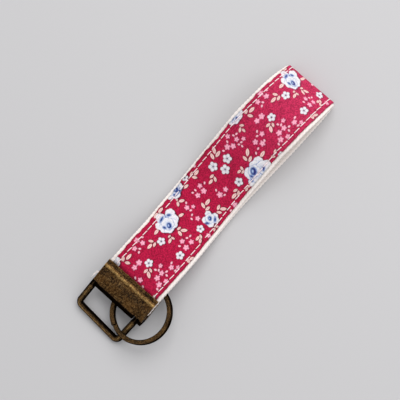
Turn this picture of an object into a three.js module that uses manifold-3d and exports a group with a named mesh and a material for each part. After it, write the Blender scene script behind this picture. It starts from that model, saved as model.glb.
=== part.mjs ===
// Wristlet keychain: a strip of webbing folded into a hand loop, with a printed cotton strip
// stitched on its outside, crimped in a metal clamp that carries a wire loop and a split ring.
// Millimetres, +X across the strap, +Y from the clamp towards the fold, +Z up from the table.
import * as THREE from "three";
import Module from "manifold-3d";

const wasm = await Module();
wasm.setup();

// ---- Driving sizes -------------------------------------------------------------------------

const WEBBING_WIDTH = 25;
const WEBBING_THICK = 1.3;
const FABRIC_WIDTH = 22.4;
const FABRIC_THICK = 0.5;
const LAYER_GAP = 0.15; // between the webbing and the fabric sewn on it
const STRAND_GAP = 0.4; // between the two strands where they lie together
const STRAND_THICK = WEBBING_THICK + LAYER_GAP + FABRIC_THICK;

const STITCH_INSET = 2; // stitch row to fabric edge
const STITCH_X = FABRIC_WIDTH / 2 - STITCH_INSET;
const THREAD_WIDTH = 0.4;
const THREAD_THICK = 0.25;
const GROOVE_WIDTH = 0.7; // the dent that a row of stitches pulls into the cloth
const GROOVE_DEPTH = 0.35;

const CLAMP_PITCH = THREE.MathUtils.degToRad(8.8); // its mouth is the higher end
const CLAMP_WIDTH = 25.1;
const CLAMP_SHEET = 0.8;
const CLAMP_HALF = 3.1; // outer half thickness, and the outer radius of its bend
const CLAMP_MOUTH = 9.1; // tunnel axis to mouth edge
const CREASE = 6.5; // tunnel axis to the crease above the jaw
const JAW_DIP = 0.45; // how far the jaws close in at the mouth
const TUNNEL = new THREE.Vector3(0, -9, 7.85); // axis of the bend, which holds the wire

const STUB_START = 2.2; // tunnel axis to the cut ends of the strap
const STUB_WEBBING = 1; // layers squeezed between the jaws
const STUB_FABRIC = 0.4;

const WIRE_RADIUS = 1.3;
const WIRE_CORNER = 1.9;
const LOOP_LENGTH = 14.9; // tunnel axis to the middle of the far bar
const LOOP_SLOPE = THREE.MathUtils.degToRad(25); // down from the clamp to the table
const LOOP_SLOT_RANGE = THREE.MathUtils.degToRad(50); // how far up the slots let it swing
const SLOT_HALF = 1.5;
const SLOT_MARGIN = THREE.MathUtils.degToRad(2);
const SLOT_INNER = 8; // half width of the bend left between the two slots

const RING_RADIUS = 12.5;
const COIL_WIDTH = 1.95;
const COIL_THICK = 1.15;
const COIL_PITCH = 1.25;
const RING_CENTRE = new THREE.Vector3(9.25, -8.2, 5.4);
const RING_RISE = new THREE.Vector2(0.181, -0.01); // slope of its plane along X and Y
const CROSSOVER = [245, 301]; // degrees round the ring where the coil changes level

const LAID_FROM = 40; // where the strap reaches the table
const CREST_Y = 83; // where the hand loop stands highest
const CREST_HEIGHT = 12; // of the upper strand's bare face there
const STRAP_END = 101;
const NOSE_INNER = 1.6; // radius of the bare face round the tight far end
const NOSE_SLOPE = 40; // degrees that the upper strand drops at into the far end
const STRAP_START = 0.6;
const BEND_Y = 48; // the strap's middle hinge
const BEND_GAP = 1.2;

// ---- Colours ---------------------------------------------------------------------------------

const brass = new THREE.MeshStandardMaterial({ color: "#6a5028", roughness: 0.45, metalness: 1 });
const webbing = new THREE.MeshStandardMaterial({ color: "#f0e9de", roughness: 0.9, metalness: 0 });
const fabric = new THREE.MeshStandardMaterial({ color: "#bf1b4b", roughness: 0.85, metalness: 0 });
const thread = new THREE.MeshStandardMaterial({ color: "#f6dedd", roughness: 0.6, metalness: 0 });

// ---- Geometry helpers ------------------------------------------------------------------------

// A closed solid: the section [a, b] is carried along stations of { point, a, b }.
function sweep(section, stations) {
  const positions = [];
  for (const { point, a, b } of stations) {
    for (const [s, t] of section) {
      const vertex = point.clone().addScaledVector(a, s).addScaledVector(b, t);
      positions.push(vertex.x, vertex.y, vertex.z);
    }
  }
  const count = section.length;
  const last = (stations.length - 1) * count;
  const index = [];
  for (let ring = 0; ring < last; ring += count) {
    for (let i = 0; i < count; i++) {
      const j = (i + 1) % count;
      index.push(ring + i, ring + j, ring + count + j);
      index.push(ring + i, ring + count + j, ring + count + i);
    }
  }
  const contour = section.map(([s, t]) => new THREE.Vector2(s, t));
  for (const [i, j, k] of THREE.ShapeUtils.triangulateShape(contour, [])) {
    index.push(i, k, j);
    index.push(last + i, last + j, last + k);
  }
  return facingOut(positions, index);
}

// Turns every face round when the solid came out inside out.
function facingOut(positions, index) {
  const [p, q, r] = [new THREE.Vector3(), new THREE.Vector3(), new THREE.Vector3()];
  let volume = 0;
  for (let i = 0; i < index.length; i += 3) {
    p.fromArray(positions, 3 * index[i]);
    q.fromArray(positions, 3 * index[i + 1]);
    r.fromArray(positions, 3 * index[i + 2]);
    volume += p.dot(q.cross(r));
  }
  if (volume < 0) {
    for (let i = 0; i < index.length; i += 3) {
      [index[i + 1], index[i + 2]] = [index[i + 2], index[i + 1]];
    }
  }
  const geometry = new THREE.BufferGeometry();
  geometry.setAttribute("position", new THREE.Float32BufferAttribute(positions, 3));
  geometry.setIndex(index);
  geometry.computeVertexNormals();
  return geometry;
}

function toManifold(geometry) {
  return new wasm.Manifold(
    new wasm.Mesh({
      numProp: 3,
      vertProperties: new Float32Array(geometry.getAttribute("position").array),
      triVerts: new Uint32Array(geometry.index.array),
    }),
  );
}

function fromManifold(solid) {
  const { vertProperties, triVerts } = solid.getMesh();
  return facingOut(Array.from(vertProperties), Array.from(triVerts));
}

const arc = (radius, from, to, steps) =>
  Array.from({ length: steps + 1 }, (_, i) => {
    const angle = THREE.MathUtils.degToRad(from + ((to - from) * i) / steps);
    return [radius * Math.cos(angle), radius * Math.sin(angle)];
  });

const rectangle = (left, right, bottom, top) => [
  [left, bottom],
  [right, bottom],
  [right, top],
  [left, top],
];

// The unit vectors along the clamp, from tunnel to mouth, and out of its upper face.
const ALONG = new THREE.Vector3(0, Math.cos(CLAMP_PITCH), Math.sin(CLAMP_PITCH));
const OUT = new THREE.Vector3(0, -Math.sin(CLAMP_PITCH), Math.cos(CLAMP_PITCH));
const ACROSS = new THREE.Vector3(1, 0, 0);

const onClamp = (along, out) =>
  TUNNEL.clone().addScaledVector(ALONG, along).addScaledVector(OUT, out);

// An outline drawn on the clamp's side, [along, out], carried across from one x to another.
function acrossClamp(outline, fromX, toX) {
  return sweep(
    outline,
    [fromX, toX].map((x) => ({
      point: TUNNEL.clone().addScaledVector(ACROSS, x),
      a: ALONG,
      b: OUT,
    })),
  );
}

// ---- The metal parts -------------------------------------------------------------------------

// One sheet bent round the wire, with a crease above each jaw.
function clampOutline() {
  const inner = CLAMP_HALF - CLAMP_SHEET;
  const upper = [
    [CLAMP_MOUTH, CLAMP_HALF - JAW_DIP],
    [CREASE, CLAMP_HALF],
  ];
  const lower = [
    [CREASE, -CLAMP_HALF],
    [CLAMP_MOUTH, -CLAMP_HALF + JAW_DIP],
  ];
  const inside = [
    [CLAMP_MOUTH, -inner + JAW_DIP],
    [CREASE, -inner],
    ...arc(inner, 270, 90, 16),
    [CREASE, inner],
    [CLAMP_MOUTH, inner - JAW_DIP],
  ];
  return [...upper, ...arc(CLAMP_HALF, 90, 270, 20), ...lower, ...inside];
}

// The slot that a leg of the wire swings in, from its rest slope to its highest.
function slotOutline() {
  const lowest = -(LOOP_SLOPE - CLAMP_PITCH) - SLOT_MARGIN;
  const highest = lowest + LOOP_SLOT_RANGE + 2 * SLOT_MARGIN;
  const reach = 9;
  const edge = (angle, side, distance) => [
    side * SLOT_HALF * Math.sin(angle) - distance * Math.cos(angle),
    side * SLOT_HALF * Math.cos(angle) + distance * Math.sin(angle),
  ];
  return [
    edge(lowest, -1, 0),
    edge(highest, 1, 0),
    edge(highest, 1, reach),
    edge((lowest + highest) / 2, 0, 1.2 * reach),
    edge(lowest, -1, reach),
  ];
}

function clampGeometry() {
  const half = CLAMP_WIDTH / 2;
  let solid = toManifold(acrossClamp(clampOutline(), -half, half));
  for (const side of [-1, 1]) {
    const slot = acrossClamp(slotOutline(), side * SLOT_INNER, side * (half + 1));
    solid = solid.subtract(toManifold(slot));
  }
  return fromManifold(solid);
}

// A flat route of straight runs joined by round corners.
function roundedRoute(points, radius, steps) {
  const route = [points[0].clone()];
  for (let i = 1; i < points.length - 1; i++) {
    const into = points[i].clone().sub(points[i - 1]).normalize();
    const away = points[i + 1].clone().sub(points[i]).normalize();
    const turn = Math.acos(THREE.MathUtils.clamp(into.dot(away), -1, 1));
    const cut = radius * Math.tan(turn / 2);
    const start = points[i].clone().addScaledVector(into, -cut);
    const side = Math.sign(into.cross(away));
    const normal = new THREE.Vector2(-into.y * side, into.x * side);
    const centre = start.clone().addScaledVector(normal, radius);
    for (let k = 0; k <= steps; k++) {
      route.push(start.clone().rotateAround(centre, (side * turn * k) / steps));
    }
  }
  route.push(points.at(-1).clone());
  return route;
}

// The wire lies slanted in the bend: its far bar is a little off square, as hand-bent wire is.
function wireLoopGeometry() {
  const corners = [
    [-0.6, 0],
    [10.05, 0],
    [8.6, -LOOP_LENGTH - 0.75],
    [-12.6, -LOOP_LENGTH + 0.75],
    [-11.85, 0],
    [-1.2, 0],
  ].map(([x, y]) => new THREE.Vector2(x, y));
  const route = roundedRoute(corners, WIRE_CORNER, 6);
  const inLoop = new THREE.Vector3(0, Math.cos(LOOP_SLOPE), Math.sin(LOOP_SLOPE));
  const offLoop = new THREE.Vector3(0, -Math.sin(LOOP_SLOPE), Math.cos(LOOP_SLOPE));
  const stations = route.map((point, i) => {
    const before = route[Math.max(i - 1, 0)];
    const after = route[Math.min(i + 1, route.length - 1)];
    const tangent = after.clone().sub(before).normalize();
    return {
      point: TUNNEL.clone().addScaledVector(ACROSS, point.x).addScaledVector(inLoop, point.y),
      a: ACROSS.clone().multiplyScalar(-tangent.y).addScaledVector(inLoop, tangent.x),
      b: offLoop,
    };
  });
  return sweep(arc(WIRE_RADIUS, 0, 337.5, 15), stations);
}

// Two turns of flattened wire, one on the other, which change level over the crossover.
function splitRingGeometry() {
  const up = new THREE.Vector3(-RING_RISE.x, -RING_RISE.y, 1).normalize();
  const e1 = new THREE.Vector3(1, 0, RING_RISE.x).normalize();
  const e2 = up.clone().cross(e1);
  const [start, end] = CROSSOVER;
  const from = end;
  const to = start + 720;
  const steps = 112;
  const radius = RING_RADIUS - COIL_WIDTH / 2;
  const stations = Array.from({ length: steps + 1 }, (_, i) => {
    const degrees = from + ((to - from) * i) / steps;
    const angle = THREE.MathUtils.degToRad(degrees);
    const level = THREE.MathUtils.smoothstep(degrees, start + 360, end + 360) - 0.5;
    const outward = e1.clone().multiplyScalar(Math.cos(angle));
    outward.addScaledVector(e2, Math.sin(angle));
    return {
      point: RING_CENTRE.clone()
        .addScaledVector(outward, radius)
        .addScaledVector(up, level * COIL_PITCH),
      a: outward,
      b: up,
    };
  });
  const [w, h, bevel] = [COIL_WIDTH / 2, COIL_THICK / 2, 0.3];
  const section = [
    [-w + bevel, -h],
    [w - bevel, -h],
    [w, -h + bevel],
    [w, h - bevel],
    [w - bevel, h],
    [-w + bevel, h],
    [-w, h - bevel],
    [-w, -h + bevel],
  ];
  return sweep(section, stations);
}

// ---- The strap -------------------------------------------------------------------------------

// Height of the line between the two strands, from the mouth of the clamp down to the table.
function middleHeight(y) {
  const mouth = onClamp(CLAMP_MOUTH, 0);
  const t = THREE.MathUtils.clamp((y - mouth.y) / (LAID_FROM - mouth.y), 0, 1);
  const startSlope = Math.tan(CLAMP_PITCH) * (LAID_FROM - mouth.y);
  const laid = STRAND_THICK + STRAND_GAP / 2;
  return (
    mouth.z * (2 * t ** 3 - 3 * t ** 2 + 1) +
    startSlope * (t ** 3 - 2 * t ** 2 + t) +
    laid * (3 * t ** 2 - 2 * t ** 3)
  );
}

const lowerFace = (y) => middleHeight(y) - STRAND_GAP / 2;

const noseY = STRAP_END - STRAND_THICK - NOSE_INNER;
const noseHeight = STRAND_THICK + NOSE_INNER;
const noseArc = arc(NOSE_INNER, 90 - NOSE_SLOPE, -80, 10).map(([y, z]) => [noseY + y, noseHeight + z]);

// The upper strand rises from the lower one to its crest, then drops to the far end.
function upperFace(y) {
  if (y <= CREST_Y) {
    const rise = CREST_HEIGHT - lowerFace(LAID_FROM) - STRAND_GAP;
    return lowerFace(y) + STRAND_GAP + rise * THREE.MathUtils.smoothstep(y, LAID_FROM, CREST_Y);
  }
  const [endY, endHeight] = noseArc[0];
  const t = (y - CREST_Y) / (endY - CREST_Y);
  const endSlope = -Math.tan(THREE.MathUtils.degToRad(NOSE_SLOPE)) * (endY - CREST_Y);
  return (
    CREST_HEIGHT * (2 * t ** 3 - 3 * t ** 2 + 1) +
    endHeight * (3 * t ** 2 - 2 * t ** 3) +
    endSlope * (t ** 3 - t ** 2)
  );
}

// Stations along the strap's bare inner face, from one y on the upper strand, or over the fold
// and back along the lower one. b points out of the loop, towards the printed side.
function strapStations(route) {
  return route.map(([y, z], i) => {
    const before = route[Math.max(i - 1, 0)];
    const after = route[Math.min(i + 1, route.length - 1)];
    const tangent = new THREE.Vector3(0, after[0] - before[0], after[1] - before[1]).normalize();
    return {
      point: new THREE.Vector3(0, y, z),
      a: ACROSS,
      b: new THREE.Vector3(0, -tangent.z, tangent.y),
    };
  });
}

function spread(from, to, steps) {
  return Array.from({ length: steps + 1 }, (_, i) => from + ((to - from) * i) / steps);
}

const nearEnd = BEND_Y - BEND_GAP / 2;
const farStart = BEND_Y + BEND_GAP / 2;
const upperNear = spread(STRAP_START, nearEnd, 22).map((y) => [y, upperFace(y)]);
const lowerNear = spread(nearEnd, STRAP_START, 22).map((y) => [y, lowerFace(y)]);
const overFold = [
  ...spread(farStart, noseArc[0][0], 30).map((y) => [y, upperFace(y)]),
  ...noseArc.slice(1),
  ...spread(noseY, farStart, 12).map((y) => [y, lowerFace(y)]),
];

// A strip's section, w measured out from the bare face, with a dent for each row of stitches.
function stripSection(width, low, high, dentsOutside) {
  const half = width / 2;
  const [base, dented] = dentsOutside ? [low, high] : [high, low];
  const floor = dentsOutside ? high - GROOVE_DEPTH : low + GROOVE_DEPTH;
  const dent = (x) => [
    [x + GROOVE_WIDTH / 2, dented],
    [x + GROOVE_WIDTH / 2, floor],
    [x - GROOVE_WIDTH / 2, floor],
    [x - GROOVE_WIDTH / 2, dented],
  ];
  const outline = [
    [-half, base],
    [half, base],
    [half, dented],
    ...dent(STITCH_X),
    ...dent(-STITCH_X),
    [-half, dented],
  ];
  return dentsOutside ? outline : outline.reverse();
}

const webbingSection = stripSection(WEBBING_WIDTH, 0, WEBBING_THICK, false);
const fabricSection = stripSection(FABRIC_WIDTH, WEBBING_THICK + LAYER_GAP, STRAND_THICK, true);

// A row of stitches lies in its dent, just below the face of the cloth.
function threadSection(x, low) {
  const half = THREAD_WIDTH / 2;
  return rectangle(x - half, x + half, low, low + THREAD_THICK);
}
const NEEDLE_LOW = STRAND_THICK - THREAD_THICK - 0.05;
const BOBBIN_LOW = 0.05;

// The strap's cut ends, squeezed in the clamp; side is 1 for the upper strand, -1 for the lower.
function stub(width, low, high, side) {
  const stations = [STUB_START, CLAMP_MOUTH - 0.2].map((along) => ({
    point: onClamp(along, 0),
    a: ACROSS,
    b: OUT.clone().multiplyScalar(side),
  }));
  return sweep(rectangle(-width / 2, width / 2, low, high), stations);
}

// ---- The assembly ----------------------------------------------------------------------------

const group = new THREE.Group();
group.name = "wristlet_keychain";

function add(name, geometry, material) {
  const mesh = new THREE.Mesh(geometry, material);
  mesh.name = name;
  group.add(mesh);
}

add("clamp", clampGeometry(), brass);
add("wire_loop", wireLoopGeometry(), brass);
add("split_ring", splitRingGeometry(), brass);

for (const [strand, side] of [["upper", 1], ["lower", -1]]) {
  const squeezed = STUB_WEBBING + LAYER_GAP;
  const web = stub(WEBBING_WIDTH, LAYER_GAP, squeezed, side);
  const cloth = stub(FABRIC_WIDTH, squeezed + LAYER_GAP, squeezed + LAYER_GAP + STUB_FABRIC, side);
  add(`webbing_end_${strand}`, web, webbing);
  add(`fabric_end_${strand}`, cloth, fabric);
}

const stretches = [
  ["near_upper", upperNear],
  ["near_lower", lowerNear],
  ["fold", overFold],
];
for (const [place, route] of stretches) {
  const stations = strapStations(route);
  add(`webbing_${place}`, sweep(webbingSection, stations), webbing);
  add(`fabric_${place}`, sweep(fabricSection, stations), fabric);
  for (const [hand, x] of [["left", -STITCH_X], ["right", STITCH_X]]) {
    add(`needle_thread_${place}_${hand}`, sweep(threadSection(x, NEEDLE_LOW), stations), thread);
    add(`bobbin_thread_${place}_${hand}`, sweep(threadSection(x, BOBBIN_LOW), stations), thread);
  }
}

// The origin is the middle of the underside.
const box = new THREE.Box3().setFromObject(group, true);
group.position.set(-(box.min.x + box.max.x) / 2, -(box.min.y + box.max.y) / 2, -box.min.z);

export default group;
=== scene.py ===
import math

import bpy
import numpy as np
from mathutils import Matrix, Vector


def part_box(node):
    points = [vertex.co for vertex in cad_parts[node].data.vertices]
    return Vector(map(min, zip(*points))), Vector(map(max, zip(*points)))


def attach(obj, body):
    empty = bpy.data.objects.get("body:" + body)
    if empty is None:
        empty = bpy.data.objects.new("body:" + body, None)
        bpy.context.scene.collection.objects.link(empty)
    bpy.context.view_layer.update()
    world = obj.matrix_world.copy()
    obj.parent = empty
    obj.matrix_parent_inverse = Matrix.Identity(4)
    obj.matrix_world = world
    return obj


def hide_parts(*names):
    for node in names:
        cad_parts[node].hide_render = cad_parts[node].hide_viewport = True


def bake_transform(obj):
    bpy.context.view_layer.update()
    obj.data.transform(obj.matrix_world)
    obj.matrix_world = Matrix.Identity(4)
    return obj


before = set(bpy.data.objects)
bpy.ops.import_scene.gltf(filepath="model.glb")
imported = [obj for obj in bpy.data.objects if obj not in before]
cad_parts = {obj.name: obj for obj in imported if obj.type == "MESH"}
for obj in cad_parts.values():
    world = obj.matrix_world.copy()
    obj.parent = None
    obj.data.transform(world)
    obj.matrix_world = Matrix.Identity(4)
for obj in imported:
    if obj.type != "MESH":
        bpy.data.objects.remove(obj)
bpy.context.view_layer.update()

# ---- Sizes, as in the part's source ----

WEBBING_WIDTH = 25
WEBBING_THICK = 1.3
FABRIC_WIDTH = 22.4
FABRIC_THICK = 0.5
LAYER_GAP = 0.15
STRAND_GAP = 0.4
STRAND_THICK = WEBBING_THICK + LAYER_GAP + FABRIC_THICK

CLAMP_PITCH = math.radians(8.8)
CLAMP_WIDTH = 25.1
CLAMP_SHEET = 0.8
CLAMP_HALF = 3.1
CLAMP_MOUTH = 9.1
CREASE = 6.5
JAW_DIP = 0.45
TUNNEL = np.array((0, -9, 7.85))
SLOT_HALF = 1.5
SLOT_LOWEST = math.radians(-18.2)
SLOT_HIGHEST = math.radians(35.8)
LEG_SLOTS = ((-12.55, -10.4), (8.3, 11.35))  # from x to x, where the legs of the wire come out

WIRE_RADIUS = 1.3
WIRE_CORNER = 1.9
LOOP_LENGTH = 14.9
LOOP_SLOPE = math.radians(25)

RING_RADIUS = 12.5
COIL_WIDTH = 1.95
COIL_THICK = 1.15
COIL_PITCH = 1.25
COIL_CORNER = 0.33
RING_CENTRE = np.array((9.25, -8.2, 5.4))
RING_RISE = (0.181, -0.01)
CROSSOVER = (245, 301)

LAID_FROM = 40
CREST_Y = 83
CREST_HEIGHT = 12
STRAP_END = 101
NOSE_INNER = 1.6
NOSE_SLOPE = math.radians(40)

# ---- Sizes of the details ----

STRAP_INSIDE = 6.8  # length of strap held in the clamp
CUT_Y = 25  # where the strap's near pieces meet the piece that goes over the fold
SQUEEZE = 0.8  # thickness left to the strap between the jaws
SQUEEZE_EASE = 3.5  # distance from the mouth to full thickness
FOLD_SKEW = 0.02  # the fold is a little off square
# The strap isn't quite straight: (y, sideways drift) of each strand.
UPPER_DRIFT = ((-8, 0), (0, 0.1), (8, 0.3), (20, 0.1), (30, -0.6), (40, -1.0), (50, -1.1),
               (60, -0.8), (67, -0.55), (72, -0.4), (80, 0.4), (88, 0.9), (95, 1.2), (101, 1.4))
LOWER_DRIFT = ((-8, 0), (0, 0.1), (8, 0.3), (20, 0.1), (30, -0.5), (46, -0.8), (60, -0.3),
               (77, 0.5), (90, 0.9), (101, 1.4))
# Each row of stitches wanders a little: (distance along the strap, x of the row).
LEFT_ROW = ((-8, -9.3), (10, -9.35), (22, -9.3), (35, -9.7), (60, -9.85), (100, -9.8),
            (140, -9.6), (180, -9.4), (216, -9.5))
RIGHT_ROW = ((-8, 9.9), (10, 9.75), (22, 9.6), (32, 9.8), (50, 9.5), (72, 9.6), (98, 9.2),
             (140, 9.5), (180, 9.7), (216, 9.6))

TABLE_GAP = 0.01  # the lowest that the strap's surface comes to the table
CLOTH_STEP = 0.14
WEBBING_STEP = 0.3
ROUTE_STEP = 0.05
PRINT_STEP = 0.07
PRINT_HALF = 12  # the print is painted this far to each side of the strip's middle
WARP_PITCH = 0.24
WEFT_PITCH = 0.3
TWILL_PITCH = 1.55  # from one rib of the herringbone to the next, along the webbing
TWILL_BAND = 5  # width of one repeat of the herringbone, across the webbing
FRAYED_YARNS = 16
WIRE_STEP = 0.16
LOOSE_FROM = 9.8  # outside its stitches, from this far across, the cotton's edge sways
SPREAD_AT = 46  # and its left edge spreads round this distance along the strap
GATHERED_FROM = 94  # the fold takes up some of the print from this distance on
FOLD_GATHER = 2.9
FOLD_GATHER_SKEW = 0.14
STITCH_PITCH = 2.9
STITCH_LENGTH = 2.62
THREAD_RADIUS = 0.19

# ---- Camera and light ----

MM = 0.001
CAMERA_TILT = (0.1621, 0.0289)  # how far it leans towards +X and +Y, per unit of height
CAMERA_ROLL = math.radians(40.722)
CAMERA_TARGET = (-2.798, 39.052, 0)
CAMERA_DISTANCE = 450
CAMERA_LENS = 104.23
KEY_DIRECTION = (-0.35, 1.3, 1.7)
KEY_POWER = 5.8
FILL_DIRECTION = (0.65, 0.9, 1.4)
FILL_POWER = 2.7
LIGHT_DISTANCE = 1000
LIGHT_SIZE = 800
AMBIENCE = 0.58
AMBIENCE_COLOUR = (0.98, 0.99, 1.0)
FLOOR_COLOUR = (0.56, 0.5516, 0.56)
FLOOR_HALF = 3000

# ---- The strap's path ----


def smoothstep(t):
    t = np.clip(t, 0, 1)
    return t * t * (3 - 2 * t)


def wave(turns):
    """A cosine wave between 0 and 1, which is 1 at whole turns."""
    return 0.5 + 0.5 * np.cos(2 * math.pi * turns)


def hump(t):
    """A bell curve, 1 at 0 and almost gone at 2."""
    return np.exp(-(t**2))


def hermite(t, a, b, slope_a, slope_b):
    """A cubic from a to b over t 0 to 1, with those slopes at its ends."""
    return (
        a * (2 * t**3 - 3 * t**2 + 1)
        + slope_a * (t**3 - 2 * t**2 + t)
        + b * (3 * t**2 - 2 * t**3)
        + slope_b * (t**3 - t**2)
    )


def smooth_curve(u, knots):
    """A curve through (u, value) knots, with even tangents."""
    at = np.array([k[0] for k in knots], float)
    value = np.array([k[1] for k in knots], float)
    tangent = np.gradient(value, at)
    i = np.clip(np.searchsorted(at, u) - 1, 0, len(at) - 2)
    span = at[i + 1] - at[i]
    t = np.clip((u - at[i]) / span, 0, 1)
    return hermite(t, value[i], value[i + 1], tangent[i] * span, tangent[i + 1] * span)


def middle_height(y):
    """Height of the line between the two strands."""
    mouth_y = TUNNEL[1] + CLAMP_MOUTH * math.cos(CLAMP_PITCH)
    mouth_z = TUNNEL[2] + CLAMP_MOUTH * math.sin(CLAMP_PITCH)
    span = LAID_FROM - mouth_y
    t = np.clip((y - mouth_y) / span, 0, 1)
    laid = STRAND_THICK + STRAND_GAP / 2
    outside = hermite(t, mouth_z, laid, math.tan(CLAMP_PITCH) * span, 0)
    inside = mouth_z + math.tan(CLAMP_PITCH) * (y - mouth_y)
    return np.where(y < mouth_y, inside, outside)


def lower_face(y):
    return middle_height(y) - STRAND_GAP / 2


NOSE_Y = STRAP_END - STRAND_THICK - NOSE_INNER
NOSE_HEIGHT = STRAND_THICK + NOSE_INNER
NOSE_START = math.pi / 2 - NOSE_SLOPE
NOSE_START_Y = NOSE_Y + NOSE_INNER * math.cos(NOSE_START)


def upper_face(y):
    """The upper strand rises from the lower one to its crest, then drops to the far end."""
    rise = CREST_HEIGHT - STRAND_THICK - STRAND_GAP
    rising = lower_face(y) + STRAND_GAP + rise * smoothstep((y - LAID_FROM) / (CREST_Y - LAID_FROM))
    span = NOSE_START_Y - CREST_Y
    end_height = NOSE_HEIGHT + NOSE_INNER * math.sin(NOSE_START)
    t = np.clip((y - CREST_Y) / span, 0, 1)
    dropping = hermite(t, CREST_HEIGHT, end_height, 0, -math.tan(NOSE_SLOPE) * span)
    return np.where(y < CREST_Y, rising, dropping)


def strap_route():
    """The bare inner face from the clamp over the fold and back: distance, y, z, normal y and z."""
    upper_y = np.arange(-STRAP_INSIDE, NOSE_START_Y, ROUTE_STEP)
    turn = np.arange(NOSE_START, -math.pi / 2, -0.03)
    lower_y = np.arange(NOSE_Y, -STRAP_INSIDE, -ROUTE_STEP)
    y = np.concatenate([upper_y, NOSE_Y + NOSE_INNER * np.cos(turn), lower_y])
    z = np.concatenate([
        upper_face(upper_y),
        NOSE_HEIGHT + NOSE_INNER * np.sin(turn),
        lower_face(lower_y),
    ])
    length = np.concatenate([[0], np.cumsum(np.hypot(np.diff(y), np.diff(z)))])
    length = length - np.interp(0, upper_y, length[: len(upper_y)])
    even = np.arange(length[0], length[-1], ROUTE_STEP)
    y = np.interp(even, length, y)
    z = np.interp(even, length, z)
    dy = smoothed(np.gradient(y), 9)
    dz = smoothed(np.gradient(z), 9)
    size = np.hypot(dy, dz)
    return even, y, z, -dz / size, dy / size


def smoothed(values, count):
    """A running mean over count values, with the ends held."""
    padded = np.pad(values, count // 2, mode="edge")
    return np.convolve(padded, np.ones(count) / count, mode="valid")


ROUTE = strap_route()
PEAK = int(np.argmax(ROUTE[1]))
NOSE_U = float(ROUTE[0][PEAK])


def distance_at(y, strand):
    """Distance along the strap of the place at y on its upper (1) or lower (-1) strand."""
    u, route_y = ROUTE[0], ROUTE[1]
    if strand > 0:
        return float(np.interp(y, route_y[:PEAK], u[:PEAK]))
    return float(np.interp(-y, -route_y[PEAK:], u[PEAK:]))


LOWER_MOUTH = distance_at(0, -1)


def drift_at(y, on_upper):
    return np.where(on_upper, smooth_curve(y, UPPER_DRIFT), smooth_curve(y, LOWER_DRIFT))


def strap_points(u, x, w):
    """Points at distance u along the strap, x across it and w out from its bare face."""
    along, y, z, normal_y, normal_z = ROUTE
    centre_y = np.interp(u, along, y)
    ny = np.interp(u, along, normal_y)
    nz = np.interp(u, along, normal_z)
    from_mouth = np.minimum(u, LOWER_MOUTH - u)
    thick = SQUEEZE + (1 - SQUEEZE) * smoothstep(from_mouth / SQUEEZE_EASE)
    drift = drift_at(centre_y, u < NOSE_U)
    turned = drift_at(centre_y + 1, u < NOSE_U) - drift_at(centre_y - 1, u < NOSE_U)
    skew = FOLD_SKEW * smoothstep((centre_y - 90) / 10) - turned / 2
    points_x = x + drift
    points_y = centre_y + w * thick * ny + skew * x
    points_z = np.maximum(np.interp(u, along, z) + w * thick * nz, TABLE_GAP)
    return np.stack(np.broadcast_arrays(points_x, points_y, points_z), -1)


# ---- The printed pattern ----
# The print repeats along the strip. Its motifs are placed by (distance along, across) in
# millimetres within the first repeat; angles are degrees from "along" towards +X.

REPEAT = (74.4, -0.6)

CRIMSON = (0xAE, 0x16, 0x3E)
# The pinker crimson of a painted sheen, laid on the ground round the fold
CRIMSON_PAINTED_SHEEN = (0xD2, 0x4A, 0x76)
CRIMSON_DEEP = (0x5E, 0x08, 0x1E)
PINK = (0xEC, 0x90, 0xAE)
PINK_PALE = (0xF6, 0xB8, 0xC8)
PETAL = (0xE5, 0xE2, 0xE6)
PETAL_GREY = (0xC6, 0xBE, 0xCA)
PETAL_SHADE = (0xB7, 0xC2, 0xD8)
ROSE_BLUE = (0x76, 0x8F, 0xC0)
NAVY = (0x22, 0x30, 0x74)
LEAF = (0xF4, 0xCE, 0xC8)
LEAF_SHADE = (0xB4, 0x76, 0x78)
STEM = (0x50, 0x18, 0x28)
EYE = (0x2A, 0x2C, 0x3C)
STAR_EYE = (0xC8, 0x50, 0x78)

# Roses: (along, across) of the heart, petals (offset, radius), dark folds (offset, length, angle).
ROSES = (
    ((24.5, -4.0),
     ((-2.4, -2.7, 1.7), (0.3, -4.3, 2.0), (3.8, -2.6, 2.0), (-1.9, -0.8, 2.1), (2.9, -0.3, 2.1),
      (-0.9, 0.5, 2.1), (1.3, 0.4, 2.2), (0.2, -0.9, 2.6)),
     ((0.1, -3.8, 2.0, -10), (3.2, -2.7, 1.3, 50), (-1.8, -0.9, 1.1, 80))),
    ((63.3, 7.8),
     ((-3.0, 2.4, 2.0), (3.9, -1.0, 2.0), (5.0, 2.0, 1.9), (-1.3, -0.5, 2.5), (1.8, -0.8, 2.4),
      (0.2, 2.0, 3.4), (3.4, 1.6, 2.7), (0.3, 0.2, 2.5)),
     ((-2.0, 0.7, 1.0, 70), (3.5, 2.3, 1.5, -35), (-3.1, 1.8, 0.9, -40))),
    ((36.8, 6.4),
     ((-1.6, -0.9, 1.4), (1.0, -1.6, 1.3), (-1.5, 1.4, 1.5), (2.0, 0.9, 1.3), (1.0, 2.1, 1.4),
      (0.1, 0.0, 2.0)),
     ((-2.2, 0.4, 1.2, 60), (1.0, 1.8, 1.6, -35))),
    ((37.3, -11.0),
     ((-3.2, -0.6, 1.9), (-1.4, 1.0, 2.0), (1.3, 0.0, 1.9), (-0.6, -0.6, 2.6)),
     ((0.3, 1.4, 2.0, -8), (-2.0, 1.0, 1.0, 70))),
    ((73.0, -11.5),
     ((-0.9, 0.7, 1.5), (2.5, 0.6, 1.3), (0.2, 1.5, 1.4), (1.7, 1.4, 1.3), (1.0, 0.0, 1.7)),
     ((0.9, 1.2, 0.6, 60),)),
)
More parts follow.
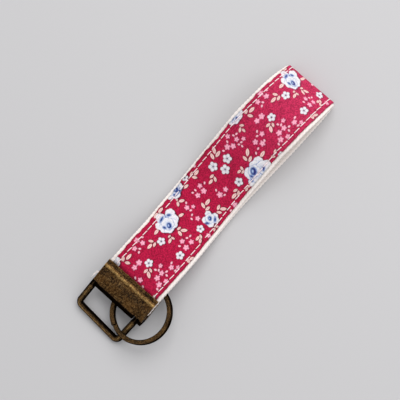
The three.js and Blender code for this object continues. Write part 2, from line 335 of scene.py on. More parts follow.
# Five-petalled white blossoms: along, across, radius, turn.
BLOSSOMS = (
    (8.4, -0.3, 1.75, 20), (17.6, -2.4, 1.8, 5), (18.0, 6.6, 1.8, 40), (31.0, 6.1, 1.75, 60),
    (43.1, -11.2, 1.5, 30), (53.7, -5.3, 2.1, 10), (59.9, -3.1, 2.1, 50), (56.1, -1.0, 2.15, 25),
    (56.2, 6.1, 1.95, 0), (75.8, 11.9, 1.6, 15),
)
# Pink star flowers: along, across, radius, turn.
STARS = (
    (3.7, -3.2, 1.2, 10), (6.1, -3.2, 1.35, 30), (8.9, -8.1, 1.15, 50), (11.8, -9.6, 1.3, 0),
    (12.5, -7.3, 1.15, 20), (1.8, 1.6, 1.15, 60), (10.5, 3.7, 0.95, 35), (6.5, 5.9, 1.25, 10),
    (8.8, 5.9, 1.15, 45), (5.3, 8.1, 1.25, 25), (7.7, 9.2, 1.05, 0), (12.6, 7.2, 1.15, 15),
    (14.2, 9.1, 0.95, 50), (22.7, 3.7, 1.15, 30), (21.7, 6.4, 1.3, 0), (24.6, 6.6, 1.15, 20),
    (33.7, 2.8, 1.15, 55), (34.4, -3.1, 1.2, 10), (36.3, -1.5, 0.9, 40), (30.9, 10.2, 1.2, 0),
    (41.0, -2.9, 1.25, 20), (44.5, -4.6, 1.15, 0), (43.9, -2.2, 1.35, 35), (47.0, 3.6, 1.45, 15),
    (50.2, 4.0, 1.2, 45), (47.9, 10.6, 1.4, 10), (63.4, -5.9, 1.4, 30), (65.2, -4.4, 1.3, 0),
    (66.6, -8.4, 1.15, 20), (68.1, -5.0, 1.15, 50), (70.1, -3.1, 0.95, 10), (72.2, 1.2, 1.25, 25),
    (73.7, 3.6, 1.35, 0),
)
# Pink buds, like small drops: along, across, turn.
BUDS = (
    (1.1, -0.4, 130), (0.7, 4.0, 100), (8.2, 3.3, 70), (8.9, 4.3, 140), (3.7, 8.8, 100),
    (9.4, 7.9, 100), (10.4, 6.9, 20), (13.9, 6.1, 160), (12.7, 9.1, 20), (10.1, -6.6, 60),
    (8.9, -5.9, 150), (14.1, -8.9, 40), (20.6, 4.1, 60), (24.8, 4.3, 50), (26.2, 4.8, 0),
    (32.0, 1.1, 100), (33.4, 0.2, 160), (35.7, -4.5, 140), (34.5, -1.3, 30), (40.5, -5.1, 40),
    (42.0, -4.9, 100), (46.6, -3.9, 140), (47.4, 1.4, 130), (48.2, 5.1, 20), (61.2, -6.1, 60),
    (64.9, -7.2, 100), (67.2, -3.1, 50), (68.5, -2.9, 30), (67.6, -1.7, 100), (68.4, -6.9, 70),
    (69.7, -6.4, 0), (69.2, 4.1, 130), (71.0, 3.6, 0), (49.0, -11.0, 10), (44.9, 10.8, 0),
    (74.3, 0.2, 30), (75.4, -0.9, 110),
)
# Sprigs: the joint, then each leaf's middle, angle and length.
SPRIGS = (
    ((3.6, -7.6), ((5.1, -7.6, 0, 2.7), (3.2, -6.4, 60, 2.2), (3.2, -8.6, -40, 1.9))),
    ((14.9, -4.6), ((13.3, -4.4, 180, 2.5), (15.1, -5.4, 60, 2.0), (15.0, -3.5, -20, 2.0))),
    ((20.6, -6.0), ((19.3, -6.2, 175, 2.6),)),
    ((29.4, -3.4), ((30.6, -3.0, 20, 2.4),)),
    ((21.0, -0.6), ((19.9, 0.0, 160, 2.2), (21.4, 0.2, 80, 1.6), (21.1, -1.3, 0, 1.4))),
    ((25.5, 0.2), ((24.6, 1.1, 110, 2.4), (26.5, 1.6, 50, 2.7), (25.9, -0.4, 15, 1.8))),
    ((6.1, 1.5), ((5.6, 0.9, 185, 2.0), (5.3, 2.7, 120, 2.6), (6.9, 2.1, 110, 1.7))),
    ((28.0, 8.7), ((27.2, 7.6, 180, 2.2), (27.0, 9.0, 150, 2.2), (28.6, 8.1, -60, 1.8))),
    ((18.8, 9.6), ((18.4, 10.4, 100, 2.2), (19.8, 10.8, 25, 2.2))),
    ((34.0, -7.4), ((33.3, -6.7, 130, 2.1), (35.2, -6.4, 35, 2.4), (34.5, -8.3, -60, 1.6))),
    ((25.9, -10.2), ((24.5, -10.5, 175, 2.6), (27.3, -10.4, 0, 2.6))),
    ((39.6, -9.3), ((40.7, -8.7, 15, 2.5),)),
    ((45.6, -9.3), ((47.5, -8.9, 0, 2.7), (45.7, -8.3, 60, 2.2), (45.9, -10.1, -15, 2.0))),
    ((49.9, -2.3), ((48.6, -2.3, 180, 2.4), (50.5, -3.3, 10, 2.1), (50.5, -1.6, 125, 2.2))),
    ((39.7, 2.2), ((39.2, 1.2, -70, 2.5), (41.4, 1.7, -5, 3.0), (39.4, 3.3, 10, 2.3))),
    ((42.0, 7.2), ((42.6, 6.3, -15, 2.3), (41.2, 7.7, 55, 2.2), (43.4, 8.1, 45, 2.8))),
    ((52.2, 8.1), ((50.5, 8.2, 180, 2.9), (52.6, 7.2, 20, 2.1), (52.5, 8.9, 145, 2.4))),
    ((57.0, 9.6), ((56.2, 10.2, 170, 2.0), (57.8, 10.2, 10, 1.8))),
    ((57.3, -6.9), ((56.5, -8.1, -70, 2.7), (58.8, -9.1, -55, 3.0), (58.7, -7.0, -5, 3.0))),
    ((60.4, 4.1), ((59.4, 3.7, 190, 2.0), (61.0, 3.7, -80, 1.9), (60.3, 4.9, 5, 1.7))),
    ((65.9, 2.6), ((64.8, 2.2, -85, 2.4), (67.2, 1.4, -40, 3.0), (66.0, 3.8, -20, 2.4))),
    ((35.3, 10.0), ((34.4, 10.5, 150, 1.6), (36.0, 10.5, 40, 1.6))),
    ((69.2, 6.4), ((70.5, 6.2, -8, 2.9),)),
    ((72.6, -6.8), ((71.7, -6.3, 150, 2.0), (73.3, -6.9, 50, 1.7), (72.5, -5.1, 95, 1.7))),
    ((73.4, 9.7), ((74.8, 9.3, -25, 2.4), (72.7, 9.9, 45, 1.9))),
    ((77.0, -9.2), ((77.6, -9.5, -20, 2.0),)),
)


def linear(colour):
    """An 8-bit sRGB colour as linear red, green, blue."""
    c = np.array(colour, float) / 255
    return np.where(c <= 0.04045, c / 12.92, ((c + 0.055) / 1.055) ** 2.4)


class Canvas:
    """The print as a grid of linear colours over the distances u and the places x."""

    def __init__(self, u, x):
        self.u = u
        self.x = x
        self.repeat = 0
        self.colour = np.tile(linear(CRIMSON), (len(u), len(x), 1))

    def paint(self, place, reach, mask, colour, turn=0.0):
        """Lays colour where mask(a, b) is 1; a and b run along and across the turned motif."""
        along = place[0] + self.repeat * REPEAT[0]
        across = place[1] + self.repeat * REPEAT[1]
        rows = slice(*np.searchsorted(self.u, (along - reach, along + reach)))
        columns = slice(*np.searchsorted(self.x, (across - reach, across + reach)))
        if rows.start == rows.stop or columns.start == columns.stop:
            return
        du = self.u[rows, None] - along
        dx = self.x[None, columns] - across
        c, s = math.cos(math.radians(turn)), math.sin(math.radians(turn))
        cover = mask(c * du + s * dx, c * dx - s * du)[..., None]
        under = self.colour[rows, columns]
        self.colour[rows, columns] = under + (linear(colour) - under) * cover


def soft(distance, edge=0.1):
    """1 inside (distance below 0), 0 outside, with a soft edge."""
    return np.clip(0.5 - distance / edge, 0, 1)


def disc(radius, edge=0.1):
    return lambda a, b: soft(np.hypot(a, b) - radius, edge)


def oval(long, wide, edge=0.1):
    return lambda a, b: soft((np.hypot(a / long, b / wide) - 1) * wide, edge)


def pointed(length, width, edge=0.1):
    """A leaf: pointed at both ends, lying along a."""
    def mask(a, b):
        half = width / 2 * np.clip(1 - (2 * a / length) ** 2, 0, 1) ** 0.75
        return soft(np.maximum(np.abs(b) - half, np.abs(a) - length / 2), edge)
    return mask


def petals(radius, count, depth, sharpness=1.0, edge=0.12):
    """A flower's outline: count petals, notched by depth of the radius."""
    def mask(a, b):
        lobe = np.abs(np.cos(np.arctan2(b, a) * count / 2)) ** sharpness
        return soft(np.hypot(a, b) - radius * (1 - depth + depth * lobe), edge)
    return mask


def draw_sprig(canvas, joint, leaves):
    for along, across, _, _ in leaves:
        halfway = ((along + joint[0]) / 2, (across + joint[1]) / 2)
        reach = max(math.dist((along, across), joint) / 2, 0.1)
        heading = math.degrees(math.atan2(across - joint[1], along - joint[0]))
        canvas.paint(halfway, 2, oval(reach, 0.16, 0.14), STEM, heading)
    for along, across, angle, length in leaves:
        middle = (along, across)
        width = 0.38 * length + 0.2
        below = (along + 0.1, across + 0.12)
        canvas.paint(below, 2.4, pointed(length + 0.45, width + 0.35, 0.3), CRIMSON_DEEP, angle)
        canvas.paint(middle, 2.2, pointed(length, width), LEAF, angle)
        canvas.paint(middle, 2.2, oval(length * 0.36, 0.08, 0.16), LEAF_SHADE, angle)


def draw_bud(canvas, along, across, turn):
    at = (along, across)
    canvas.paint(at, 1.4, pointed(1.4, 0.95, 0.3), CRIMSON_DEEP, turn)
    canvas.paint(at, 1.2, pointed(1.15, 0.75), PINK_PALE, turn)


def draw_star(canvas, along, across, radius, turn):
    at = (along, across)
    below = (along + 0.08, across + 0.12)
    radius = 0.92 * radius
    canvas.paint(below, 2, petals(radius + 0.14, 5, 0.4, 1, 0.3), CRIMSON_DEEP, turn)
    canvas.paint(at, 2, petals(radius, 5, 0.42, 0.9), PINK, turn)
    canvas.paint(at, 2, petals(radius * 0.62, 5, 0.5, 1, 0.4), PINK_PALE, turn)
    canvas.paint(at, 1, disc(0.14, 0.2), STAR_EYE, turn)


def draw_blossom(canvas, along, across, radius, turn):
    at = (along, across)
    below = (along + 0.14, across + 0.2)
    radius = 0.92 * radius
    canvas.paint(below, 3, petals(radius + 0.12, 5, 0.26, 0.9, 0.35), CRIMSON_DEEP, turn)
    canvas.paint(at, 3, petals(radius, 5, 0.34, 0.75), PETAL_GREY, turn)
    canvas.paint(at, 3, petals(radius * 0.94, 5, 0.42, 0.9, 0.25), PETAL, turn)
    canvas.paint(at, 3, petals(radius * 0.5, 5, 0.7, 1, 0.4), PETAL_GREY, turn + 36)
    canvas.paint(at, 1, disc(0.3, 0.22), EYE, turn)


def draw_petal(canvas, heart, along, across, radius):
    """One petal of a rose: blue outline, white rim, shaded towards the heart."""
    place = (heart[0] + along, heart[1] + across)
    spin = 40 * along + 70 * across
    canvas.paint(place, 5, petals(radius, 6, 0.1, 0.8, 0.15), ROSE_BLUE, spin)
    rim = (place[0] + 0.06 * along, place[1] + 0.06 * across)
    canvas.paint(rim, 5, petals(radius * 0.95, 6, 0.12, 0.8, 0.2), PETAL, spin)
    inner = (place[0] - 0.16 * along, place[1] - 0.16 * across)
    canvas.paint(inner, 5, disc(radius * 0.36, radius * 0.8), PETAL_SHADE)


def draw_rose(canvas, heart, lobes, folds):
    for along, across, radius in lobes:
        place = (heart[0] + along + 0.2, heart[1] + across + 0.3)
        canvas.paint(place, 5, petals(radius + 0.2, 7, 0.08, 1, 0.5), CRIMSON_DEEP)
    for lobe in lobes:
        draw_petal(canvas, heart, *lobe)
    for along, across, length, angle in folds:
        place = (heart[0] + along, heart[1] + across)
        canvas.paint(place, 3, oval(length * 0.75, 0.62, 0.5), ROSE_BLUE, angle)
        canvas.paint(place, 3, oval(length / 2, 0.26, 0.25), NAVY, angle)
    size = 0.42 * max(radius for _, _, radius in lobes)
    canvas.paint(heart, 3, oval(size * 1.25, size, 0.5), ROSE_BLUE, -50)
    canvas.paint(heart, 3, oval(size * 0.95, size * 0.72, 0.3), NAVY, -50)
    glint = (heart[0] - 0.15 * size, heart[1] - 0.2 * size)
    canvas.paint(glint, 3, oval(size * 0.58, size * 0.36, 0.25), ROSE_BLUE, -50)
    canvas.paint(glint, 3, oval(size * 0.26, size * 0.16, 0.2), PETAL_SHADE, -50)


def printed_canvas(u, x):
    """The whole strip's print, repeat after repeat."""
    canvas = Canvas(u, x)
    layers = (
        (draw_sprig, SPRIGS),
        (draw_bud, BUDS),
        (draw_star, STARS),
        (draw_blossom, BLOSSOMS),
        (draw_rose, ROSES),
    )
    for repeat in range(-1, int(u[-1] // REPEAT[0]) + 2):
        canvas.repeat = repeat
        for draw, motifs in layers:
            for motif in motifs:
                draw(canvas, *motif)
    return canvas


# ---- Pieces ----

CLAMP_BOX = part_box("clamp")
FOLD_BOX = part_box("fabric_fold")
# From the part's own axes, in millimetres, to the frame's.
ORIGIN = Vector((
    (CLAMP_BOX[0][0] + CLAMP_BOX[1][0]) / 2 / MM,
    FOLD_BOX[1][1] / MM - STRAP_END,
    0,
))


def frame_point(point):
    return (Vector(point) + ORIGIN) * MM


def grid_faces(rows, columns, around=False):
    """Quads over a grid of vertices, closed round the columns if asked."""
    i = np.arange(rows - 1)[:, None] * columns
    if around:
        j = np.arange(columns)[None, :]
        k = (j + 1) % columns
    else:
        j = np.arange(columns - 1)[None, :]
        k = j + 1
    return np.stack([i + j, i + columns + j, i + columns + k, i + k], -1).reshape(-1, 4)


def inside_out(points, faces):
    """True if the faces of a closed solid look inwards."""
    p, q, r = (points[faces[:, i]] for i in range(3))
    return np.einsum("ij,ij->i", p, np.cross(q, r)).sum() <= 0


# Kinds of mesh attribute, and their fields, by how many numbers a vertex has.
LAYER_KINDS = {1: ("FLOAT", "value"), 3: ("FLOAT_VECTOR", "vector"), 4: ("FLOAT_COLOR", "color")}


def add_mesh(name, points, faces, material, caps=(), attributes=None):
    """A smooth shaded mesh. caps are rings of vertex numbers, closed with one flat face each."""
    order = -1 if len(caps) and inside_out(points, faces) else 1
    loops = np.concatenate([faces[:, ::order].reshape(-1), *(cap[::order] for cap in caps)])
    totals = np.array([4] * len(faces) + [len(cap) for cap in caps])
    starts = np.cumsum(totals) - totals
    mesh = bpy.data.meshes.new(name)
    mesh.vertices.add(len(points))
    mesh.vertices.foreach_set("co", ((points + np.array(ORIGIN)) * MM).ravel())
    mesh.loops.add(len(loops))
    mesh.loops.foreach_set("vertex_index", loops.astype(np.int32))
    mesh.polygons.add(len(starts))
    mesh.polygons.foreach_set("loop_start", starts.astype(np.int32))
    mesh.polygons.foreach_set("loop_total", totals.astype(np.int32))
    mesh.update(calc_edges=True)
    mesh.polygons.foreach_set("use_smooth", np.ones(len(starts), bool))
    for key, values in (attributes or {}).items():
        kind, field = LAYER_KINDS[values.shape[-1]]
        layer = mesh.attributes.new(key, kind, "POINT")
        layer.data.foreach_set(field, values.astype(np.float32).ravel())
    mesh.materials.append(material)
    obj = bpy.data.objects.new(name, mesh)
    bpy.context.scene.collection.objects.link(obj)
    return obj


def tube(section_a, section_b, route, side, up):
    """Points of a tube: section offsets along each station's side and up directions."""
    offset_a = np.asarray(section_a)[None, :, None] * side[:, None, :]
    offset_b = np.asarray(section_b)[None, :, None] * up[:, None, :]
    return route[:, None, :] + offset_a + offset_b


def add_tubes(name, tubes, material, attributes):
    """One mesh of closed tubes. Each tube is a grid of points, a ring to a row, and each
    attribute has one grid of values to a tube."""
    faces, caps = [], []
    first = 0
    for grid in tubes:
        rows, columns = grid.shape[:2]
        ring = np.arange(columns)
        faces.append(first + grid_faces(rows, columns, True))
        caps.append(first + ring)
        caps.append(first + (rows - 1) * columns + ring[::-1])
        first += rows * columns
    points = np.concatenate([grid.reshape(-1, 3) for grid in tubes])
    values = {}
    for key, grids in attributes.items():
        flat = [grid.reshape(grid.shape[0] * grid.shape[1], -1) for grid in grids]
        values[key] = np.concatenate(flat)
    return add_mesh(name, points, np.concatenate(faces), material, caps, values)


def unit(vectors):
    return vectors / np.linalg.norm(vectors, axis=-1, keepdims=True)


# ---- Materials ----


class Nodes:
    """A short way to write a material's node tree."""

    def __init__(self, name):
        self.material = bpy.data.materials.new(name)
        self.material.use_nodes = True
        self.tree = self.material.node_tree
        self.shader = self.tree.nodes["Principled BSDF"]

    def add(self, kind, inputs=None, **settings):
        node = self.tree.nodes.new("ShaderNode" + kind)
        for key, value in settings.items():
            setattr(node, key, value)
        for key, value in (inputs or {}).items():
            self.set(node.inputs[key], value)
        return node

    def set(self, socket, value):
        if isinstance(value, bpy.types.NodeSocket):
            self.tree.links.new(value, socket)
        else:
            socket.default_value = value

    def shade(self, **inputs):
        for key, value in inputs.items():
            self.set(self.shader.inputs[key.replace("_", " ")], value)

    def math(self, operation, *values):
        node = self.add("Math", operation=operation)
        for i, value in enumerate(values):
            self.set(node.inputs[i], value)
        return node.outputs[0]

    def times(self, a, b):
        return self.math("MULTIPLY", a, b)

    def plus(self, *values):
        total = values[0]
        for value in values[1:]:
            total = self.math("ADD", total, value)
        return total

    def attribute(self, name, output="Fac"):
        return self.add("Attribute", attribute_name=name).outputs[output]

    def noise(self, vector, scale, detail=2, roughness=0.5, distortion=0.0):
        node = self.add("TexNoise", {"Vector": vector, "Scale": scale, "Detail": detail,
                                     "Roughness": roughness, "Distortion": distortion})
        return node.outputs["Fac"]

    def stretch(self, vector, x, y, z):
        node = self.add("Mapping", {"Vector": vector, "Scale": (x, y, z)})
        return node.outputs[0]

    def range(self, value, low, high, to_low=0.0, to_high=1.0):
        node = self.add("MapRange", interpolation_type="SMOOTHSTEP")
        for i, given in enumerate((value, low, high, to_low, to_high)):
            self.set(node.inputs[i], given)
        return node.outputs[0]

    def spread(self, noise, low=0.0, high=1.0):
        """Takes a noise from its usual values, 0.3 to 0.7, to low to high."""
        return self.range(noise, 0.3, 0.7, low, high)

    def mix(self, factor, a, b, blend="MIX"):
        node = self.add("Mix", data_type="RGBA", blend_type=blend)
        self.set(node.inputs[0], factor)
        self.set(node.inputs[6], a)
        self.set(node.inputs[7], b)
        return node.outputs[2]

    def bump(self, height, distance, strength=1.0, normal=None):
        node = self.add("Bump", {"Height": height, "Distance": distance, "Strength": strength})
        if normal is not None:
            self.set(node.inputs["Normal"], normal)
        return node.outputs[0]


def rgba(colour):
    return (*linear(colour), 1.0)


def cotton_material():
    """Printed poplin: the print, a fine plain weave, and painted shade in the puckers that the
    stitches pull.
    """
    n = Nodes("printed_cotton")
    cloth = n.attribute("cloth", "Vector")
    parts = n.add("SeparateXYZ", {"Vector": cloth})
    u, x = parts.outputs[0], parts.outputs[1]
    warp = n.math("SINE", n.times(x, 2 * math.pi / WARP_PITCH))
    weft = n.math("SINE", n.times(u, 2 * math.pi / WEFT_PITCH))
    weave = n.times(warp, weft)
    fibres = n.noise(n.stretch(cloth, 2.2, 0.5, 1), 4.5, 3, 0.65)
    slub = n.noise(n.stretch(cloth, 0.4, 2.4, 1), 3.5, 2, 0.6)
    blotch = n.noise(cloth, 0.35, 3, 0.6)
    printed = n.attribute("print", "Color")
    grain = n.noise(cloth, 2.0, 2, 0.65)
    light = n.plus(
        n.times(weave, 0.07),
        n.spread(fibres, -0.2, 0.2),
        n.spread(grain, -0.38, 0.32),
        n.spread(slub, -0.1, 0.1),
        n.spread(blotch, -0.07, 0.07),
    )
    green = n.add("SeparateColor", {"Color": printed}).outputs[1]
    light = n.times(light, n.range(green, 0.1, 0.5, 1.0, 0.3))
    level = n.plus(light, 1.0)
    # Painted shade: the print is darkened in the dents that the stitches pull.
    tone_and_painted_light = n.mix(n.attribute("dent"), printed, n.mix(1.0, printed, rgba((234, 224, 224)), "MULTIPLY"))
    grey = n.add("CombineColor", {0: level, 1: level, 2: level}).outputs[0]
    n.shade(Base_Color=n.mix(1.0, tone_and_painted_light, grey, "MULTIPLY"), Roughness=0.82)
    n.shade(Specular_IOR_Level=0.1, Sheen_Weight=0.03, Sheen_Roughness=0.5)
    height = n.plus(n.times(weave, 0.5), n.times(fibres, 1.6))
    n.shade(Normal=n.bump(height, 0.000035))
    return n.material


def webbing_material():
    """Cream cotton webbing: coarse yarns with fine twisted fibres."""
    n = Nodes("cream_webbing")
    cloth = n.attribute("cloth", "Vector")
    fibres = n.noise(n.stretch(cloth, 1.1, 3.6, 3.6), 2.4, 4, 0.7)
    fuzz = n.noise(cloth, 6.5, 3, 0.7)
    relief = n.attribute("relief")
    # Painted shade: where the relief is low, in the gaps between the yarns, the cream is painted
    # darker.
    low = n.mix(n.spread(fuzz), rgba((232, 222, 214)), rgba((240, 232, 225)))
    high = n.mix(n.range(fibres, 0.35, 0.65), rgba((245, 234, 228)), rgba((252, 244, 239)))
    n.shade(Base_Color=n.mix(n.range(relief, 0.1, 0.75), low, high), Roughness=0.9)
    n.shade(Specular_IOR_Level=0.2, Sheen_Weight=0.25, Sheen_Roughness=0.5)
    height = n.plus(fibres, n.times(fuzz, 0.7))
    n.shade(Normal=n.bump(height, 0.00012))
    return n.material


def thread_material():
    """Pale pink sewing thread, its plies twisted round each other."""
    n = Nodes("pale_thread")
    cloth = n.attribute("cloth", "Vector")
    fibres = n.noise(n.stretch(cloth, 1.5, 6, 1), 3.0, 2, 0.6)
    colour = n.mix(n.spread(fibres), rgba((250, 230, 232)), rgba((255, 244, 244)))
    ply = n.attribute("ply")
    # Painted shade: the thread is darker in the grooves between its plies.
    shaded = n.mix(n.range(ply, 0.0, 0.5), rgba((236, 202, 208)), colour)
    n.shade(Base_Color=shaded, Roughness=0.55, Specular_IOR_Level=0.4)
    n.shade(Normal=n.bump(fibres, 0.00003))
    return n.material


def brass_material(name, dark, tan):
    """Antique brass: dark patina, tan mottling, gold where it is bare from wear, and fine curly
    scratches. The attribute for wear also carries painted light: gold for a painted highlight and near
    black for painted shade.
    """
    n = Nodes(name)
    here = n.attribute("metal", "Vector")
    cloud = n.noise(here, 0.28, 4, 0.62, 0.6)
    mottle = n.noise(here, 1.6, 4, 0.72, 0.8)
    grain = n.noise(here, 5.5, 3, 0.7)
    curl = n.noise(here, 0.75, 3, 0.55, 1.6)
    fine_curl = n.noise(here, 1.5, 2, 0.6, 2.2)
    line = n.range(n.math("ABSOLUTE", n.math("SUBTRACT", curl, 0.5)), 0.0, 0.022, 1.0, 0.0)
    fine_line = n.range(n.math("ABSOLUTE", n.math("SUBTRACT", fine_curl, 0.5)), 0, 0.03, 1, 0)
    broken = n.range(mottle, 0.44, 0.56)
    scratch = n.times(n.math("MAXIMUM", line, n.times(fine_line, 0.6)), broken)
    uneven = n.range(mottle, 0.35, 0.65, -0.15, 0.15)
    # Wear and painted light together: high where the metal is bare and where a highlight is painted,
    # low where shade is painted.
    wear_and_painted_light = n.plus(n.attribute("tone_and_painted_light"), uneven, n.spread(grain, -0.12, 0.12))
    gold = n.range(wear_and_painted_light, 0.2, 0.95)
    base = n.mix(n.range(n.plus(cloud, mottle), 0.76, 1.2), rgba(dark), rgba(tan))
    speck = n.range(n.plus(mottle, n.spread(grain, -0.08, 0.08)), 0.55, 0.68, 0, 0.6)
    base = n.mix(speck, base, rgba((136, 96, 50)))
    base = n.mix(n.times(scratch, 0.85), base, rgba((184, 150, 102)))
    base = n.mix(gold, base, rgba((196, 158, 98)))
    # Painted shade, and a little dark patina where the mottling is lowest: near black and not
    # metallic.
    patina_and_painted_shade = n.range(wear_and_painted_light, -0.65, -0.1, 1.0, 0.0)
    polished = n.math("SUBTRACT", 1.0, patina_and_painted_shade)
    n.shade(Base_Color=n.mix(patina_and_painted_shade, base, rgba((9, 5, 3))))
    n.shade(Metallic=n.times(polished, 0.94), Specular_IOR_Level=n.times(polished, 0.3))
    n.shade(Roughness=n.plus(n.spread(grain, 0.36, 0.5), n.times(gold, -0.1), n.times(patina_and_painted_shade, 0.4)))
    height = n.plus(mottle, n.times(grain, 0.35))
    height = n.math("SUBTRACT", height, n.times(scratch, 0.6))
    n.shade(Normal=n.bump(height, 0.00008))
    return n.material


# ---- The strap's pieces ----

# Each strip is made of three lengths that meet between two stitches: (name, from u, to u).
CUT_UPPER = round(distance_at(CUT_Y, 1) / STITCH_PITCH) * STITCH_PITCH
CUT_LOWER = round(distance_at(CUT_Y, -1) / STITCH_PITCH) * STITCH_PITCH
LENGTHS = (
    ("upper", -STRAP_INSIDE, CUT_UPPER),
    ("fold", CUT_UPPER, CUT_LOWER),
    ("lower", CUT_LOWER, LOWER_MOUTH + STRAP_INSIDE),
)


def joined(obj, part, kind, extra=""):
    """Bakes a length of the strap's place into its mesh and hides the CAD nodes that it stands in for.
    """
    if part == "fold":
        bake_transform(obj)
        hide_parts(f"{kind}_fold{extra}")
        return
    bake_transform(obj)
    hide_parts(f"{kind}_near_{part}{extra}")
    if not extra:
        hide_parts(f"{kind}_end_{part}")


def steps_between(low, high, step):
    return np.linspace(low, high, int(round(abs(high - low) / step)) + 1)


def ripple(u, x):
    """Gentle unevenness of sewn cloth, in millimetres."""
    slow = 0.07 * np.sin(0.31 * u + 0.5 * np.sin(0.21 * x)) * np.cos(0.19 * x + 0.11 * u)
    quick_part = 0.035 * np.sin(1.1 * u + 0.6 * x) * np.sin(0.83 * x - 0.37 * u + 1)
    return slow + quick_part


def seam_dent(u, x):
    """Depth of the dents that the stitches pull, 0 to 1."""
    total = np.zeros(np.broadcast(u, x).shape)
    for row in (LEFT_ROW, RIGHT_ROW):
        away = np.abs(x - smooth_curve(u, row))
        pulled = 0.72 + 0.28 * wave(u / STITCH_PITCH) ** 3
        total = total + pulled * hump(away / 0.62)
    return np.clip(total, 0, 1)


def strip_section(width, low, high, top_step, back_step, edge_points):
    """(x, w) round a strip from w low to high: its top, right edge, back and left edge."""
    half = width / 2
    radius = (high - low) / 2
    turn = np.radians(np.linspace(90, -90, edge_points))[1:-1]
    top = steps_between(-half + radius, half - radius, top_step)
    back = steps_between(half - radius, -half + radius, back_step)
    edge_x = half - radius + radius * np.cos(turn)
    edge_w = (low + high) / 2 + radius * np.sin(turn)
    x = np.concatenate([top, edge_x, back, -edge_x[::-1]])
    w = np.concatenate([np.full(len(top), high), edge_w, np.full(len(back), low), edge_w[::-1]])
    return x, w


def add_strip(name, u, x, w, material, values):
    """One length of cloth from its grids of (u, x, w), which its texture is read by too."""
    values["cloth"] = [np.stack([u, x, w], -1)]
    return add_tubes(name, [strap_points(u, x, w)], material, values)


def print_with_painted_light(u, x):
    """The print's colours on the cloth, gathered by the fold, with a painted sheen round the fold,
    painted shade at its edges and a painted shadow by the clamp.
    """
    gathered = (FOLD_GATHER + FOLD_GATHER_SKEW * x) * smoothstep((u - GATHERED_FROM) / 9)
    row = np.clip(np.searchsorted(PRINT.u, u + gathered), 0, len(PRINT.u) - 1)
    column = np.clip(np.searchsorted(PRINT.x, x), 0, len(PRINT.x) - 1)
    colour = PRINT.colour[row, column]
    # Painted sheen: the crimson ground turns lighter and pinker round the fold.
    painted_sheen = 0.4 * hump((u - NOSE_U) / 32) * np.clip(1 - 4 * colour[..., 2], 0, 1)
    colour = colour + (linear(CRIMSON_PAINTED_SHEEN) - colour) * painted_sheen[..., None]
    # Painted shade: the cloth is darkened along its edges.
    edge = smoothstep((np.abs(x) - 10.6) / 0.6)
    # Painted shadow: the cloth is darkened by up to half where it comes out of the clamp.
    mouth = 1 - smoothstep((np.minimum(u, LOWER_MOUTH - u) - 0.2) / 1.3)
    colour = colour * ((1 - 0.3 * edge) * (1 - 0.5 * mouth))[..., None]
    return np.concatenate([colour, np.ones(colour.shape[:-1] + (1,))], -1)


def add_fabric(part, start, end, material):
    low, high = WEBBING_THICK + LAYER_GAP, STRAND_THICK
    u = steps_between(start, end, CLOTH_STEP)
    x, w = strip_section(FABRIC_WIDTH, low, high, CLOTH_STEP, 1.1, 9)
    outer = smoothstep((w - low) / (high - low))
    grid_u, grid_x = np.meshgrid(u, x, indexing="ij")
    dent = seam_dent(grid_u, grid_x)
    hem = hump((np.abs(grid_x) - FABRIC_WIDTH / 2 + 0.9) / 0.55)
    height = w + outer * (ripple(grid_u, grid_x) - 0.1 + 0.06 * hem - 0.13 * dent)
    sway = 0.13 * np.sin(0.42 * u) + 0.1 * np.sin(1.3 * u + 1) + 0.07 * np.sin(2.2 * u)
    loose = smoothstep((np.abs(x) - LOOSE_FROM) / 1.4)
    spread = 0.4 * hump((grid_u - SPREAD_AT) / 14) * np.where(x < 0, loose, 0)
    grid_x = grid_x + sway[:, None] * loose * np.where(x < 0, 1.0, 0.45) - spread
    values = {"print": [print_with_painted_light(grid_u, grid_x)], "dent": [dent]}
    obj = add_strip(f"cotton_{part}", grid_u, grid_x, height, material, values)
    joined(obj, part, "fabric")


def twill(u, x):
    """Herringbone relief, 0 in the gaps to 1 on the yarns."""
    slant = np.abs((x / TWILL_BAND + 0.5) % 1 - 0.5) * TWILL_BAND
    rib = wave(u / TWILL_PITCH + slant / 1.9)
    yarn = wave(x / 0.95)
    return rib**0.7 * (0.55 + 0.45 * yarn)


def add_webbing(part, start, end, material):
    u = steps_between(start, end, WEBBING_STEP * 0.7)
    x, w = strip_section(WEBBING_WIDTH, 0, WEBBING_THICK, WEBBING_STEP, WEBBING_STEP, 11)
    grid_u, grid_x = np.meshgrid(u, x, indexing="ij")
    relief = twill(grid_u, grid_x)
    edge = smoothstep((np.abs(grid_x) - WEBBING_WIDTH / 2 + 1.3) / 1.0)
    uneven = 0.3 * np.sin(0.8 * grid_u) + 0.2 * np.sin(2.1 * grid_u + grid_x)
    turns = grid_u / TWILL_PITCH + 0.2 * np.sign(grid_x) + uneven / (2 * math.pi)
    knuckle = 0.45 + 0.55 * wave(turns) ** 0.6
    relief = relief + edge * (knuckle - relief)
    dent = seam_dent(grid_u, grid_x)
    depth = 0.18 * (1 - relief) + 0.12 * dent * (w < 0.2)
    inward = np.where(w > WEBBING_THICK / 2, -1, 1) * (1 - edge)
    height = w + inward * depth
    cupped = 1 - 0.035 * hump((grid_u - NOSE_U) / 6)
    across = cupped * (grid_x - edge * np.sign(grid_x) * 0.34 * (1 - knuckle))
    obj = add_strip(f"tape_{part}", grid_u, across, height, material, {"relief": [relief]})
    joined(obj, part, "webbing")


